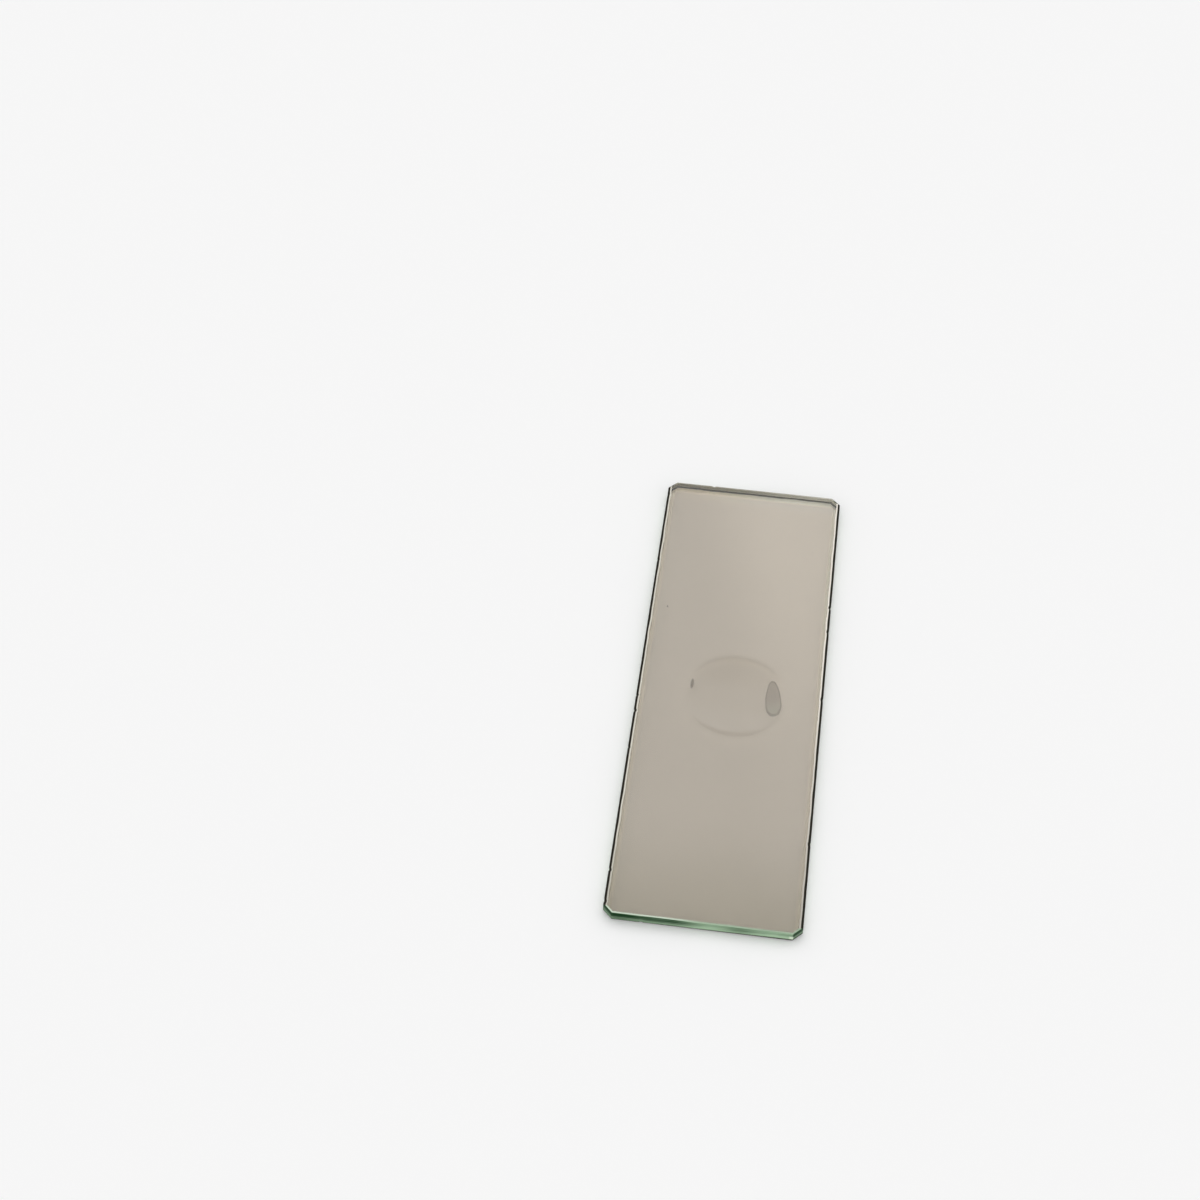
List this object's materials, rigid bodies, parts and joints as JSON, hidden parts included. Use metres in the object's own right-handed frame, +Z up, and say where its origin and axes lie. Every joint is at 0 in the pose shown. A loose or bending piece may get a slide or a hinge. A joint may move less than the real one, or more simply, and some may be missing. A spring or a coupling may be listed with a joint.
{
  "type": "microscope slide",
  "caption": "Flat rectangular glass plate with clipped corners, bevelled edges and a shallow round well in its upper face, for holding a drop or small specimen under a microscope.",
  "frame": {"origin": "middle of the underside, on the surface that the slide lies on", "axes": "+Y along the slide, +X across it, +Z up out of the face with the well"},
  "size_m": [0.0254, 0.0762, 0.0014],
  "materials": {
    "glass": "polished clear soda-lime glass, a faint warm grey, with a green edge"
  },
  "bodies": {
    "root": {"slide": "glass"}
  },
  "joints": []
}
